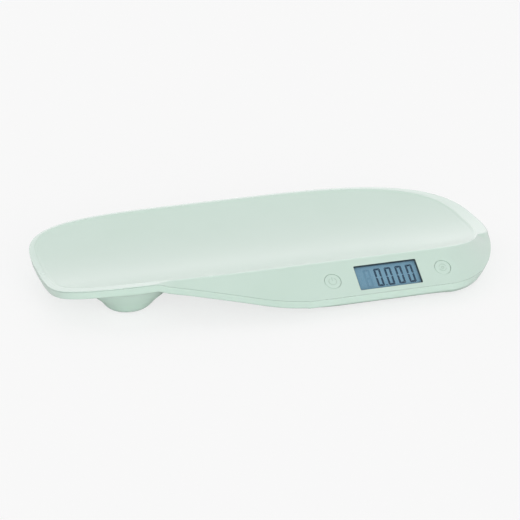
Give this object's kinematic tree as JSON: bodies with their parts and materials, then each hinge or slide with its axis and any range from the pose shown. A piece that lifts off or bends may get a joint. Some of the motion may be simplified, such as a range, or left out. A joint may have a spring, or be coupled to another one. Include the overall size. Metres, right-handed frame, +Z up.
{
  "type": "digital baby scale",
  "caption": "Mint digital baby weighing scale: a shallow tray on four load-cell feet, with a sloping console that holds a window and two buttons.",
  "frame": {"origin": "centre of the outline on the ground plane, under the rubber pads", "axes": "+X along the tray to the end with the rounded nose, +Z up, -Y towards the person at the console"},
  "size_m": [0.55, 0.276, 0.0508],
  "materials": {
    "tray_plastic": "satin",
    "base_plastic": "satin",
    "lens_plastic": "clear",
    "lcd_glass": "satin",
    "lcd_ink": "matte",
    "foam": "matte",
    "white_plastic": "matte",
    "black_plastic": "matte",
    "zebra_rubber": "matte",
    "pad_rubber": "matte",
    "circuit_board": "satin",
    "chip": "matte",
    "small_parts": "satin",
    "cell_steel": "brushed",
    "screw_steel": "satin",
    "contact_steel": "polished",
    "gauge_film": "matte",
    "battery_skin": "gloss",
    "red_sleeve": "satin",
    "black_sleeve": "satin",
    "blue_sleeve": "satin",
    "green_sleeve": "satin"
  },
  "bodies": {
    "scale_body": {"tray_shell": "tray_plastic", "base_shell": "base_plastic", "display_lens": "lens_plastic", "display_gasket": "foam", "lcd_glass": "lcd_glass", "lcd_digits": "lcd_ink", "lcd_frame": "white_plastic", "lcd_backlight": "white_plastic", "zebra_strip_upper": "zebra_rubber", "zebra_strip_lower": "zebra_rubber", "main_board": "circuit_board", "board_controller": "chip", "board_parts": "small_parts", "lead_connector": "white_plastic", "board_screws": "screw_steel", "left_switch": "black_plastic", "right_switch": "black_plastic", "load_cell_front_left": "cell_steel", "load_cell_front_right": "cell_steel", "load_cell_rear_left": "cell_steel", "load_cell_rear_right": "cell_steel", "foot_post_front_left": "white_plastic", "foot_post_front_right": "white_plastic", "foot_post_rear_left": "white_plastic", "foot_post_rear_right": "white_plastic", "foot_pad_front_left": "pad_rubber", "foot_pad_front_right": "pad_rubber", "foot_pad_rear_left": "pad_rubber", "foot_pad_rear_right": "pad_rubber", "strain_gauges": "gauge_film", "cell_screws": "screw_steel", "post_screws": "screw_steel", "cell_lead_front_left": "red_sleeve", "cell_lead_front_right": "blue_sleeve", "cell_lead_rear_left": "black_sleeve", "cell_lead_rear_right": "green_sleeve", "power_lead": "red_sleeve", "battery_1": "battery_skin", "battery_2": "battery_skin", "battery_3": "battery_skin", "battery_springs": "contact_steel", "battery_plates": "contact_steel", "shell_screws": "screw_steel"},
    "left_key": {"left_button": "tray_plastic", "left_switch_stem": "black_plastic"},
    "right_key": {"right_button": "tray_plastic", "right_switch_stem": "black_plastic"},
    "door": {"battery_door": "base_plastic"}
  },
  "joints": [
    {"name": "left_button_press", "type": "slide", "parent": "scale_body", "child": "left_key", "axis": [0, 0.5736, -0.8192], "range_m": [0, 0.0005], "stiffness_N_per_m": 2000, "springref_m": -0.0005},
    {"name": "right_button_press", "type": "slide", "parent": "scale_body", "child": "right_key", "axis": [0, 0.5736, -0.8192], "range_m": [0, 0.0005], "stiffness_N_per_m": 2000, "springref_m": -0.0005},
    {"name": "battery_door_hinge", "type": "hinge", "parent": "scale_body", "child": "door", "pos_m": [0.0586, -0.082, 0.0049], "axis": [0, 1, 0], "range_deg": [0, 100]}
  ]
}
